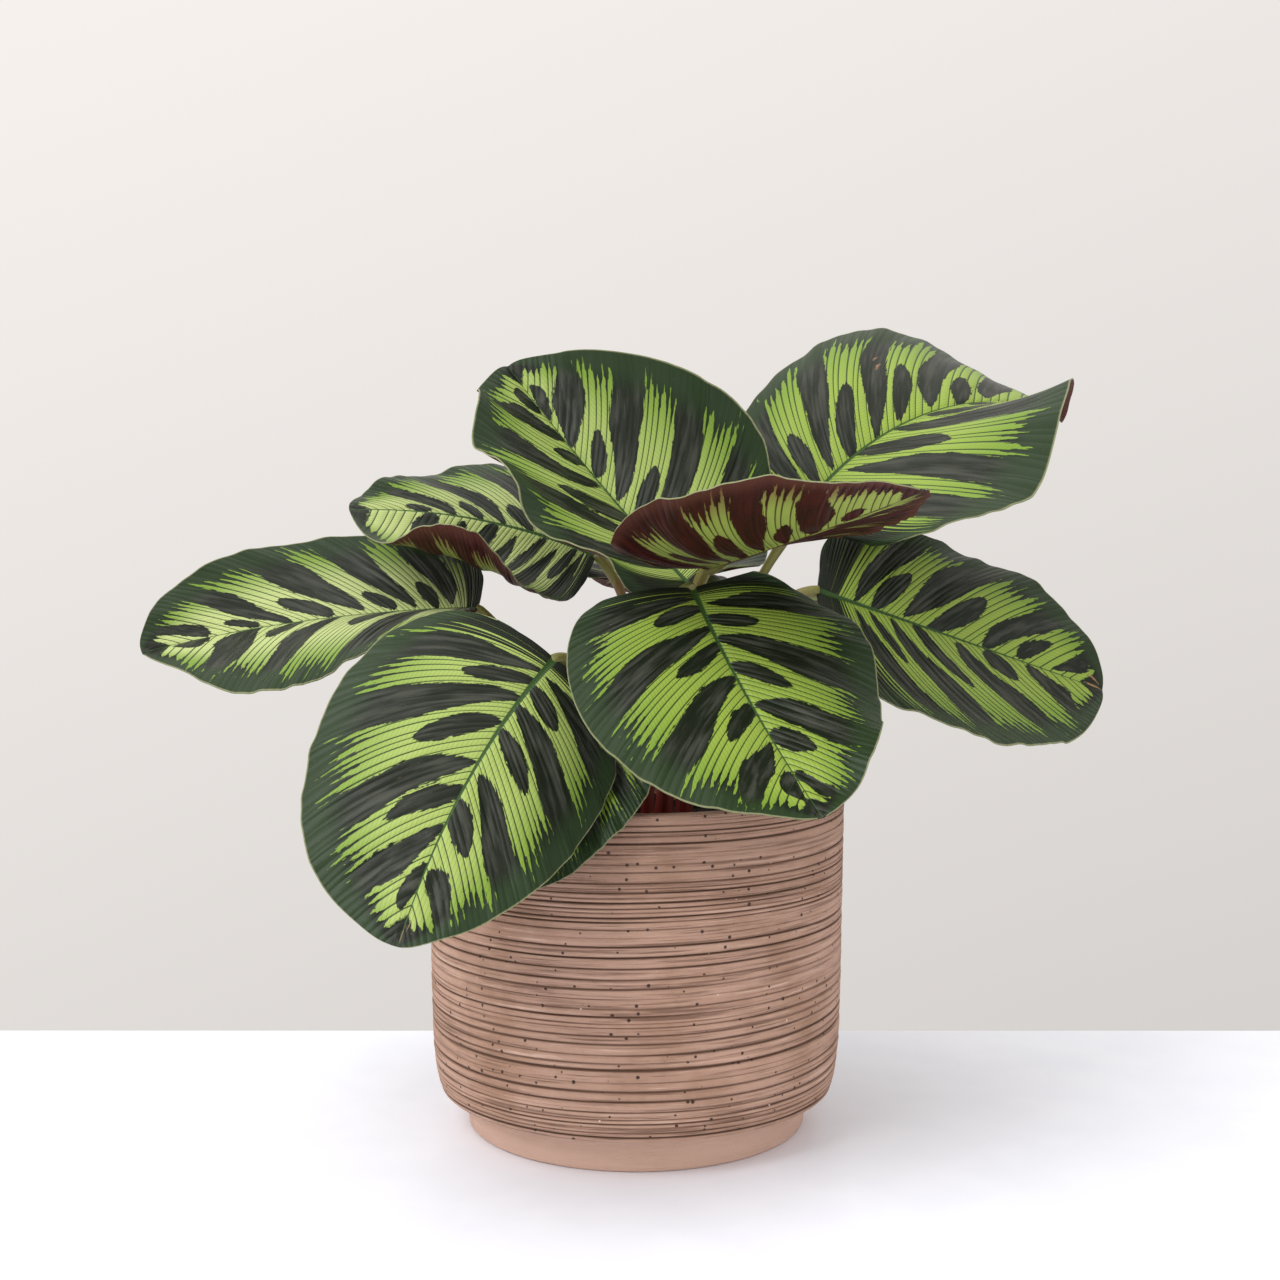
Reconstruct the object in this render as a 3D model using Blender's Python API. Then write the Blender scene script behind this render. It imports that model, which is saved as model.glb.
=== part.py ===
"""A potted peacock plant: a ribbed clay pot with a stepped foot, potting soil, and
twelve broad leaves, each a blade on its own stalk that stands in a hole in the soil.

Sizes are in millimetres and angles in degrees. +Z is up, and the origin is the middle
of the pot's foot, on the table. Leaves to the front face -Y.
"""

import math

import bpy
import numpy as np

MM = 0.001

# Pot, turned on the Z axis
POT_HEIGHT = 125.0
POT_RADIUS = 75.0
POT_FLARE = 1.3
FOOT_RADIUS = 62.0
FOOT_HEIGHT = 13.0
FOOT_WALL = 6.0
LIP_RADIUS = 72.0
LIP_HEIGHT = 14.0
# How far up the wall's curve from the lip to its full width reaches
TUCK_REACH = 8.0
POT_WALL = 5.0
POT_FLOOR = 8.0
# The inside narrows evenly down to the shoulder, then steps in to the well over the foot
SHOULDER = 24.0
WELL_TOP = 17.0
INSIDE_TAPER = 3.0
EDGE_ROUND = 0.8
POT_SIDES = 40
GROOVE_DEPTH = 0.9
GROOVE_LIP = 0.9
# Heights of the cut rings above the table
GROOVES = (
    19, 22, 25, 28.5, 32, 35.5, 39.5, 42, 45, 48.5, 51, 54.5, 57.5, 60, 63.5, 66.5, 69.5,
    73.5, 77, 80.5, 83.5, 86.5, 89, 92, 95, 98.5, 102, 105.5, 108.5, 112, 115.5, 118, 121,
)

# Soil, a plug that fills the pot
SOIL_TOP = 106.0
SOIL_CROWN = 2.0
CROWN_RING = 0.55
FIT_GAP = 0.3
HOLE_DEPTH = 16.0
HOLE_SIDES = 12

# Outline of a blade, as shares of its length and half width
BASE_LOBE = 0.05
FULLNESS = 0.85
TIP_POINT = 0.03
TIP_REACH = 0.07
# How far the side veins lean to the tip, and how much they bow
VEIN_LEAN = 2.45
VEIN_BOW = 0.06
# The vein that is the blade's straight edge at the base
BASE_EDGE = 0.1
# The share of the blade before its tip over which the margin's waves die out
TIP_CALM = 0.15

BLADE_THICK = 1.0
MIDRIB_DEPTH = 1.6
BLADE_ROWS = 13
BLADE_COLUMNS = (0.0, 0.08, 0.3, 0.55, 0.8, 1.0)

STALK_RADIUS = 1.7
SHEATH_RADIUS = 2.6
SHEATH_LENGTH = 45.0
KNEE_RADIUS = 2.3
KNEE_LENGTH = 14.0
STALK_SIDES = 8
STALK_RINGS = 14
STALK_GAP = 0.5
# The straight run above the soil, and how strongly the stalk springs upward from it
STALK_RISE = 4.0
STALK_SPRING = 0.4

# Each leaf, by where it stands seen from the front.
#   base: where the blade meets its stalk.   root: where the stalk leaves the soil, x and y.
#   heading: the way the midrib points in plan, 0 to the right and 270 to the front.
#   swerve: how far the heading has turned at the tip.
#   pitch: the midrib's rise at its base.   droop: how far the pitch has changed at the tip.
#   roll and twist: the blade's turn about its midrib, at the base and gained by the tip;
#   a positive roll lifts the left half, seen from the base.
#   length, and half width, egg, fold and curl for the (left, right) halves. Egg moves the
#   widest place towards the base. Fold is the angle at which a half rises from the midrib,
#   and curl what it gains by the margin.
#   wave: the height of the margin's waves, and start where along it they begin, (left,
#   right).   waves: how many.
#   arrive: the stalk's rise where it reaches the blade.   reach: how far it runs that way.
LEAVES = {
    "far_left": dict(
        base=(-58, 3, 188), root=(-17, 1), heading=175, swerve=37, pitch=-1, droop=-11,
        roll=-12, twist=-17, length=119, half=(55, 44), egg=(-0.19, 0.21),
        fold=(18, 19), curl=(-26, 3), wave=(0.8, 1.2), start=(0.64, 0.67), waves=4,
        arrive=85, reach=8,
    ),
    "front_left": dict(
        base=(-27, -60, 175), root=(-9, -15), heading=235, swerve=8, pitch=-30, droop=-27,
        roll=-36, twist=26, length=114, half=(42, 56), egg=(0.21, 0.15),
        fold=(-6, 10), curl=(-37, -30), wave=(1.1, 0.8), start=(0.26, 0.08), waves=3,
        arrive=30, reach=25,
    ),
    "front": dict(
        base=(19, -47, 198), root=(4, -18), heading=293, swerve=1, pitch=-41, droop=12,
        roll=7, twist=8, length=109, half=(46, 53), egg=(0.29, 0.19),
        fold=(13, 9), curl=(-26, -22), wave=(3.3, 0.6), start=(0.02, 0.6), waves=3,
        arrive=40, reach=22,
    ),
    "top": dict(
        base=(20, -9, 196), root=(9, -4), heading=144, swerve=5, pitch=41, droop=8,
        roll=-24, twist=-11, length=114, half=(53, 56), egg=(0.12, 0.34),
        fold=(25, 30), curl=(5, 38), wave=(3.9, 0.8), start=(0.15, 0.22), waves=4,
        arrive=60, reach=25,
    ),
    "back_left": dict(
        base=(-15, 28, 207), root=(-10, 8), heading=179, swerve=25, pitch=23, droop=-25,
        roll=-49, twist=22, length=93, half=(60, 45), egg=(-0.32, 0.43),
        fold=(-17, 4), curl=(90, -29), wave=(0.8, 1.7), start=(0.12, 0.26), waves=4,
        arrive=60, reach=30,
    ),
    "top_right": dict(
        base=(60, 18, 221), root=(17, 5), heading=22, swerve=14, pitch=52, droop=-68,
        roll=28, twist=-24, length=137, half=(60, 66), egg=(-0.12, 0.55),
        fold=(32, 4), curl=(-28, -3), wave=(3.2, 11), start=(0.0, 0.78), waves=2,
        arrive=60, reach=30,
    ),
    "folded": dict(
        base=(25, -35, 205), root=(11, -12), heading=293, swerve=24, pitch=9, droop=9,
        roll=10, twist=-15, length=107, half=(44, 49), egg=(0.32, 0.17),
        fold=(14, 6), curl=(-23, 26), wave=(0.6, 1.3), start=(0.24, 0.55), waves=4,
        arrive=55, reach=25,
    ),
    "right": dict(
        base=(66, 0, 195), root=(18, -5), heading=20, swerve=-4, pitch=-18, droop=-1,
        roll=53, twist=1, length=123, half=(46, 60), egg=(-0.05, 0.27),
        fold=(18, 6), curl=(-39, 26), wave=(1.5, 0.8), start=(0.51, 0.68), waves=4,
        arrive=25, reach=25,
    ),
    "low_front": dict(
        base=(-8, -42, 150), root=(-3, -25), heading=232, swerve=0, pitch=-15, droop=-60,
        roll=-10, twist=-8, length=71, half=(31, 26), egg=(0.17, 0.17),
        fold=(5, 5), curl=(-10, -10), wave=(0.8, 0.8), start=(0.2, 0.1), waves=3,
        arrive=30, reach=14,
    ),
    "back": dict(
        base=(8, 38, 194), root=(4, 17), heading=94, swerve=0, pitch=16, droop=-40,
        roll=0, twist=0, length=108, half=(48, 48), egg=(0.17, 0.17),
        fold=(15, 15), curl=(-12, -12), wave=(1.8, 1.8), start=(0.1, 0.6), waves=4,
        arrive=55, reach=30,
    ),
    "back_right": dict(
        base=(36, 36, 188), root=(10, 15), heading=50, swerve=-6, pitch=6, droop=-34,
        roll=0, twist=6, length=104, half=(46, 46), egg=(0.17, 0.17),
        fold=(12, 14), curl=(-8, -14), wave=(1.5, 2.0), start=(0.5, 0.2), waves=4,
        arrive=45, reach=30,
    ),
    "low_back": dict(
        base=(-26, 42, 154), root=(-11, 17), heading=140, swerve=8, pitch=-4, droop=-36,
        roll=4, twist=0, length=98, half=(43, 43), egg=(0.17, 0.17),
        fold=(10, 10), curl=(-10, -14), wave=(1.5, 1.5), start=(0.3, 0.7), waves=4,
        arrive=30, reach=22,
    ),
}

COLOURS = {
    "clay": ((0.46, 0.27, 0.20), 0.80),
    "soil": ((0.05, 0.032, 0.022), 0.95),
    "leaf": ((0.12, 0.24, 0.06), 0.40),
    "stalk": ((0.20, 0.05, 0.03), 0.45),
}


def clear_scene():
    for old in list(bpy.data.objects):
        bpy.data.objects.remove(old, do_unlink=True)


def material(name):
    colour, roughness = COLOURS[name]
    made = bpy.data.materials.new(name)
    made.use_nodes = True
    made.diffuse_color = (*colour, 1.0)
    shader = made.node_tree.nodes["Principled BSDF"]
    shader.inputs["Base Color"].default_value = (*colour, 1.0)
    shader.inputs["Roughness"].default_value = roughness
    shader.inputs["Metallic"].default_value = 0.0
    return made


def new_object(name, points, faces, finish):
    """An object from points in millimetres."""
    mesh = bpy.data.meshes.new(name)
    mesh.from_pydata((np.asarray(points) * MM).tolist(), [], faces)
    mesh.validate()
    mesh.materials.append(finish)
    mesh.shade_smooth()
    mesh.set_sharp_from_angle(angle=math.radians(40))
    made = bpy.data.objects.new(name, mesh)
    bpy.context.scene.collection.objects.link(made)
    return made


def turned(name, profile, sides, finish):
    """A solid turned on Z. The profile runs from the axis below, round the outside, to the
    axis above, as (radius, height)."""
    around = np.arange(sides) * math.tau / sides
    points = [(0.0, 0.0, profile[0][1])]
    for radius, height in profile[1:-1]:
        for angle in around:
            points.append((radius * math.cos(angle), radius * math.sin(angle), height))
    points.append((0.0, 0.0, profile[-1][1]))
    last = len(points) - 1
    rings = len(profile) - 2
    faces = []
    for i in range(sides):
        j = (i + 1) % sides
        faces.append((0, 1 + j, 1 + i))
        faces.append((last, last - sides + i, last - sides + j))
        for ring in range(rings - 1):
            low = 1 + ring * sides
            high = low + sides
            faces.append((low + i, low + j, high + j, high + i))
    return new_object(name, points, faces, finish)


def outer_radius(height):
    """The pot's wall: it curves in under the first rings, and flares a little above."""
    rise = (height - LIP_HEIGHT) / (POT_HEIGHT - LIP_HEIGHT)
    tuck = (POT_RADIUS - LIP_RADIUS) * math.exp(-(height - LIP_HEIGHT) / TUCK_REACH)
    return POT_RADIUS - tuck + POT_FLARE * rise


def inner_radius(height):
    drop = (POT_HEIGHT - height) / (POT_HEIGHT - SHOULDER)
    return outer_radius(POT_HEIGHT) - POT_WALL - INSIDE_TAPER * drop


def inside(top, gap):
    """The inside of the pot from a height down to the axis, drawn in by a gap."""
    well = FOOT_RADIUS - FOOT_WALL
    return [
        (inner_radius(top) - gap, top),
        (inner_radius(SHOULDER) - gap, SHOULDER),
        (well - gap, WELL_TOP),
        (well - gap, POT_FLOOR + gap),
        (0.0, POT_FLOOR + gap),
    ]


def make_pot():
    rim = outer_radius(POT_HEIGHT)
    outside = [
        (0.0, 0.0),
        (FOOT_RADIUS - EDGE_ROUND, 0.0),
        (FOOT_RADIUS, EDGE_ROUND),
        (FOOT_RADIUS, FOOT_HEIGHT - EDGE_ROUND),
        (FOOT_RADIUS + EDGE_ROUND, FOOT_HEIGHT),
        (LIP_RADIUS, LIP_HEIGHT),
    ]
    for height in GROOVES:
        outside.append((outer_radius(height) - GROOVE_DEPTH, height))
        outside.append((outer_radius(height), height + GROOVE_LIP))
    outside += [
        (rim, POT_HEIGHT - EDGE_ROUND),
        (rim - EDGE_ROUND, POT_HEIGHT),
        (inner_radius(POT_HEIGHT) + EDGE_ROUND, POT_HEIGHT),
    ]
    profile = outside + inside(POT_HEIGHT - EDGE_ROUND, 0.0)
    return turned("pot", profile, POT_SIDES, material("clay"))


def make_hole_cutter(finish):
    """One upright peg for each stalk's hole."""
    around = np.arange(HOLE_SIDES) * math.tau / HOLE_SIDES
    radius = (SHEATH_RADIUS + FIT_GAP) / math.cos(math.pi / HOLE_SIDES)
    points = []
    faces = []
    for leaf in LEAVES.values():
        first = len(points)
        x, y = leaf["root"]
        for height in (SOIL_TOP - HOLE_DEPTH, SOIL_TOP + HOLE_DEPTH):
            for angle in around:
                points.append((x + radius * math.cos(angle), y + radius * math.sin(angle), height))
        faces.append(tuple(first + i for i in reversed(range(HOLE_SIDES))))
        faces.append(tuple(first + HOLE_SIDES + i for i in range(HOLE_SIDES)))
        for i in range(HOLE_SIDES):
            low = first + i
            beside = first + (i + 1) % HOLE_SIDES
            faces.append((low, beside, beside + HOLE_SIDES, low + HOLE_SIDES))
    cutter = new_object("stalk_holes", points, faces, finish)
    cutter.hide_render = True
    cutter.display_type = "WIRE"
    return cutter


def make_soil():
    finish = material("soil")
    profile = inside(SOIL_TOP, 2 * FIT_GAP)[::-1] + [
        (inner_radius(SOIL_TOP) * CROWN_RING, SOIL_TOP + SOIL_CROWN * (1 - CROWN_RING**2)),
        (0.0, SOIL_TOP + SOIL_CROWN),
    ]
    soil = turned("soil", profile, POT_SIDES, finish)
    holes = soil.modifiers.new("holes", "BOOLEAN")
    holes.operation = "DIFFERENCE"
    holes.object = make_hole_cutter(finish)
    return soil


def flat_blade(along, across, length, half, egg):
    """The flat blade: a side vein leaves the midrib at `along` (0 base, 1 tip) and runs out
    to the margin as a bowed curve, and `across` is how far out on it a point lies."""
    turn = np.pi * along
    margin_x = 0.5 - 0.5 * np.cos(turn) - BASE_LOBE * np.sin(np.minimum(2 * turn, np.pi)) ** 2
    margin_x = margin_x + TIP_POINT * np.exp(-(((1 - along) / TIP_REACH) ** 2))
    margin_y = np.maximum(np.sin(turn), 0) ** FULLNESS * (1 + egg * np.cos(turn)) * half
    margin_x = margin_x * length
    start_x = along**VEIN_LEAN * (1 + TIP_POINT) * length
    run = margin_x - start_x
    bend_x = start_x + 0.5 * run - VEIN_BOW * margin_y
    bend_y = 0.5 * margin_y + VEIN_BOW * run
    rest = 1 - across
    x = rest**2 * start_x + 2 * across * rest * bend_x + across**2 * margin_x
    y = 2 * across * rest * bend_y + across**2 * margin_y
    return x, np.maximum(y, 0)


def direction(heading, pitch):
    heading, pitch = np.radians(heading), np.radians(pitch)
    level = np.cos(pitch)
    return np.stack([level * np.cos(heading), level * np.sin(heading), np.sin(pitch)], -1)


def midrib(leaf, x):
    """The midrib's point at x along it, the blade's own left, and its upward normal. The
    midrib bends evenly from its base to its tip."""
    length = leaf["length"] * (1 + TIP_POINT)
    steps = np.linspace(0, 1, 65)
    ways = direction(leaf["heading"] + leaf["swerve"] * steps, leaf["pitch"] + leaf["droop"] * steps)
    runs = (ways[1:] + ways[:-1]) / 2 * length / (len(steps) - 1)
    line = np.concatenate([np.zeros((1, 3)), np.cumsum(runs, axis=0)])
    share = np.clip(x / length, 0, 1)
    heading = leaf["heading"] + leaf["swerve"] * share
    ahead = direction(heading, leaf["pitch"] + leaf["droop"] * share)
    centre = np.stack([np.interp(share, steps, line[:, i]) for i in range(3)], -1)
    centre = centre + np.array(leaf["base"]) + ahead * (x - share * length)[..., None]
    level_left = direction(heading + 90, 0 * share)
    above = np.cross(ahead, level_left)
    roll = np.radians(leaf["roll"] + leaf["twist"] * share)[..., None]
    left = level_left * np.cos(roll) + above * np.sin(roll)
    return centre, left, above * np.cos(roll) - level_left * np.sin(roll)


def blade_point(leaf, along, across):
    """The blade's middle surface. Each half is an arc that leaves the midrib at its fold
    and turns by its curl, with waves that grow to the margin and die out at the tip. across
    is -1 at the right margin, 0 on the midrib and 1 at the left margin."""
    is_left = across >= 0
    out = np.abs(across)

    def of_half(key):
        return np.where(is_left, leaf[key][0], leaf[key][1])

    half = of_half("half")
    x, y = flat_blade(along, out, leaf["length"], half, of_half("egg"))
    centre, left, above = midrib(leaf, x)
    fold = np.radians(of_half("fold"))
    turned_by = np.radians(of_half("curl")) * y / half
    chord = y * np.sinc(turned_by / 2 / np.pi)
    sideways = chord * np.cos(fold + turned_by / 2)
    upward = chord * np.sin(fold + turned_by / 2)
    phase = math.tau * (leaf["waves"] * along + of_half("start"))
    wave = of_half("wave") * out**3 * np.sin(phase) * np.minimum((1 - along) / TIP_CALM, 1)
    sideways = sideways - wave * np.sin(fold + turned_by)
    upward = upward + wave * np.cos(fold + turned_by)
    sign = np.where(is_left, 1.0, -1.0)
    return centre + left * (sign * sideways)[..., None] + above * upward[..., None]


def unit(vectors):
    return vectors / np.linalg.norm(vectors, axis=-1, keepdims=True)


def grid_normals(grid):
    """A normal at each point of a grid of points: the sum of its faces' normals, each as
    strong as its face is large, so that narrow faces at the blade's base count for little."""
    across_face = np.cross(grid[1:, 1:] - grid[:-1, :-1], grid[:-1, 1:] - grid[1:, :-1])
    total = np.zeros_like(grid)
    total[:-1, :-1] += across_face
    total[1:, :-1] += across_face
    total[:-1, 1:] += across_face
    total[1:, 1:] += across_face
    return unit(total)


def make_blade(name, leaf, finish):
    """A closed blade: an upper and a lower face on one grid, split alike across the shorter
    way, joined all round by a narrow edge. The grid's rows close to a point at the tip."""
    columns = np.array([-c for c in reversed(BLADE_COLUMNS[1:])] + list(BLADE_COLUMNS))
    rows = np.linspace(BASE_EDGE, 1, BLADE_ROWS)[:-1]
    along, across = np.meshgrid(rows, columns, indexing="ij")
    middle = blade_point(leaf, along, across)
    normal = grid_normals(middle)
    rib = MIDRIB_DEPTH * (1 - along) * (across == 0)
    upper = middle + normal * BLADE_THICK / 2
    lower = middle - normal * (BLADE_THICK / 2 + rib)[..., None]
    tip = blade_point(leaf, np.array(1.0), np.array(0.0))
    above = midrib(leaf, np.array(leaf["length"]))[2] * BLADE_THICK / 2
    count = along.size
    points = np.concatenate([upper.reshape(-1, 3), lower.reshape(-1, 3), [tip + above, tip - above]])
    tip_up, tip_low = 2 * count, 2 * count + 1
    wide = len(columns)
    last = (len(rows) - 1) * wide
    faces = []
    for c in range(wide - 1):
        faces.append((tip_up, last + c + 1, last + c))
        faces.append((tip_low, count + last + c, count + last + c + 1))
        for r in range(len(rows) - 1):
            a = r * wide + c
            b = a + wide
            if columns[c] < 0:
                halves = ((a, b, b + 1), (a, b + 1, a + 1))
            else:
                halves = ((a, b, a + 1), (a + 1, b, b + 1))
            for corners in halves:
                faces.append(corners)
                faces.append(tuple(count + i for i in reversed(corners)))
    right = [r * wide for r in range(len(rows))]
    left = [i + wide - 1 for i in reversed(right)]
    edge = right + [tip_up] + left + list(range(wide - 2, 0, -1))
    for here, beyond in zip(edge, edge[1:] + edge[:1]):
        under_here = tip_low if here == tip_up else here + count
        under_beyond = tip_low if beyond == tip_up else beyond + count
        faces.append((here, under_here, under_beyond))
        faces.append((here, under_beyond, beyond))
    return new_object("leaf_" + name, points, faces, finish)


def stalk_path(leaf):
    """Straight up out of its hole, then a cubic curve to the blade: the points, and the
    way that the stalk runs at each."""
    x, y = leaf["root"]
    ahead = direction(leaf["heading"], leaf["pitch"])
    rising = direction(leaf["heading"], leaf["arrive"])
    bottom = np.array([[x, y, SOIL_TOP - HOLE_DEPTH + FIT_GAP]])
    start = np.array([x, y, SOIL_TOP + STALK_RISE])
    blade_start = BASE_EDGE**VEIN_LEAN * (1 + TIP_POINT) * leaf["length"]
    end = np.array(leaf["base"]) + ahead * (blade_start - STALK_GAP)
    first = start + np.array([0, 0, STALK_SPRING * np.linalg.norm(end - start)])
    second = end - unit(ahead + rising) * leaf["reach"]
    t = (np.arange(STALK_RINGS - 1) / (STALK_RINGS - 2))[:, None]
    s = 1 - t
    line = s**3 * start + 3 * t * s**2 * first + 3 * t**2 * s * second + t**3 * end
    ways = unit(s**2 * (first - start) + 2 * t * s * (second - first) + t**2 * (end - second))
    ways[-1] = ahead
    return np.concatenate([bottom, line]), np.concatenate([ways[:1], ways])


def stalk_radii(line):
    """Thick in the sheath at the soil, slim above, and thick again in the knee below the
    blade."""
    gone = np.concatenate([[0], np.cumsum(np.linalg.norm(np.diff(line, axis=0), axis=1))])
    left = gone[-1] - gone
    sheath = (SHEATH_RADIUS - STALK_RADIUS) * np.clip(1 - (gone - HOLE_DEPTH) / SHEATH_LENGTH, 0, 1)
    knee = (KNEE_RADIUS - STALK_RADIUS) * np.clip(1 - np.abs(left - KNEE_LENGTH / 2) / KNEE_LENGTH, 0, 1)
    return STALK_RADIUS + sheath + knee


def make_stalk(name, leaf, finish):
    line, ways = stalk_path(leaf)
    radii = stalk_radii(line)
    side = unit(np.cross(ways, direction(leaf["heading"] + 90, 0)))
    other = np.cross(ways, side)
    angle = np.arange(STALK_SIDES) * math.tau / STALK_SIDES
    ring = np.cos(angle)[None, :, None] * side[:, None] + np.sin(angle)[None, :, None] * other[:, None]
    points = (line[:, None] + ring * radii[:, None, None]).reshape(-1, 3)
    faces = [tuple(reversed(range(STALK_SIDES)))]
    last = (STALK_RINGS - 1) * STALK_SIDES
    faces.append(tuple(last + i for i in range(STALK_SIDES)))
    for r in range(STALK_RINGS - 1):
        for i in range(STALK_SIDES):
            j = (i + 1) % STALK_SIDES
            low = r * STALK_SIDES
            faces.append((low + i, low + j, low + STALK_SIDES + j, low + STALK_SIDES + i))
    return new_object("stalk_" + name, points, faces, finish)


def main():
    clear_scene()
    make_pot()
    make_soil()
    leaf_finish = material("leaf")
    stalk_finish = material("stalk")
    for name, leaf in LEAVES.items():
        make_blade(name, leaf, leaf_finish)
        make_stalk(name, leaf, stalk_finish)


main()
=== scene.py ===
"""The looks of a potted peacock plant: leaves with their painted veins, stalks, a ribbed
clay pot, soil, and the table, lights and camera that show them.

Sizes are in millimetres and angles in degrees until a mesh is made. +Z is up, the origin
is the middle of the pot's foot, and leaves to the front face -Y.
"""

import math

import bpy
import numpy as np
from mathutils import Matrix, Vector


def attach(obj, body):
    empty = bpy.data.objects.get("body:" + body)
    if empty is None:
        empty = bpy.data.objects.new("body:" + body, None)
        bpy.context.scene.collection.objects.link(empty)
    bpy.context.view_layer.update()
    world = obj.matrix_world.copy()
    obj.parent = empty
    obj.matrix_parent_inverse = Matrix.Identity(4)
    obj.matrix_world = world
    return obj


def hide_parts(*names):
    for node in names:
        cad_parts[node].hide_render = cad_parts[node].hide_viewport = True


bl_info = {
    "name": "Potted Peacock Plant",
    "version": (1, 0, 0),
    "blender": (4, 5, 0),
    "location": "View3D > Sidebar > Plant",
    "description": "Leaves with their painted veins, stalks, soil and a ribbed clay pot",
    "category": "Add Mesh",
}

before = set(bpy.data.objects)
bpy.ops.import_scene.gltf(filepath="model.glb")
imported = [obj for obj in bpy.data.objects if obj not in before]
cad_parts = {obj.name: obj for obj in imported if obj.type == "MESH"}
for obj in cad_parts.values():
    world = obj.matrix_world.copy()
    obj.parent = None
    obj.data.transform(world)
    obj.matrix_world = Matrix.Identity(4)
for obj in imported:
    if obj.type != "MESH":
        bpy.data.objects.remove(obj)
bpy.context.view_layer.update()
BODY = "root"
MM = 0.001

# Pot, turned on the Z axis
POT_HEIGHT = 125.0
POT_RADIUS = 75.0
POT_FLARE = 1.3
FOOT_RADIUS = 62.0
FOOT_HEIGHT = 13.0
FOOT_WALL = 6.0
LIP_RADIUS = 72.0
LIP_HEIGHT = 14.0
TUCK_REACH = 8.0
POT_WALL = 5.0
POT_FLOOR = 8.0
SHOULDER = 24.0
WELL_TOP = 17.0
INSIDE_TAPER = 3.0
POT_SIDES = 240
# Heights of the cut rings above the table
GROOVES = (
    15.6, 17.2, 19.1, 20.6, 22.2, 25, 28.7, 32.2, 35.3, 39.7, 42, 44.8, 48.4, 51.2, 53.9, 55.3,
    57.6, 60.2, 63.4, 66.6, 69.7, 73.3, 77, 80.6, 83.7, 86.3, 88.8, 90.3, 92, 93.4, 95.3, 97,
    98.7, 100.2, 102, 105.7, 108.5, 112, 115.5, 118, 119.4, 121.4,
)
# A cut ring's section: how far above its bottom, and the share of its depth
GROOVE_SECTION = ((-0.5, 0.22), (-0.2, 0.7), (0.0, 1.0), (0.25, 0.65), (0.6, 0.22))

SOIL_TOP = 106.0
SOIL_CROWN = 2.0
SOIL_CRUMBS = 420
FIT_GAP = 0.3
HOLE_DEPTH = 16.0

# Outline of a blade, as shares of its length and half width
BASE_LOBE = 0.05
FULLNESS = 0.85
TIP_POINT = 0.03
TIP_REACH = 0.07
VEIN_LEAN = 2.45
VEIN_BOW = 0.06
BASE_EDGE = 0.1
TIP_CALM = 0.15
BLADE_THICK = 1.0
MIDRIB_DEPTH = 1.6

STALK_RADIUS = 1.7
SHEATH_RADIUS = 2.6
SHEATH_LENGTH = 45.0
KNEE_RADIUS = 2.3
KNEE_LENGTH = 14.0
STALK_RISE = 4.0
STALK_SPRING = 0.4
STALK_SIDES = 20

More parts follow.
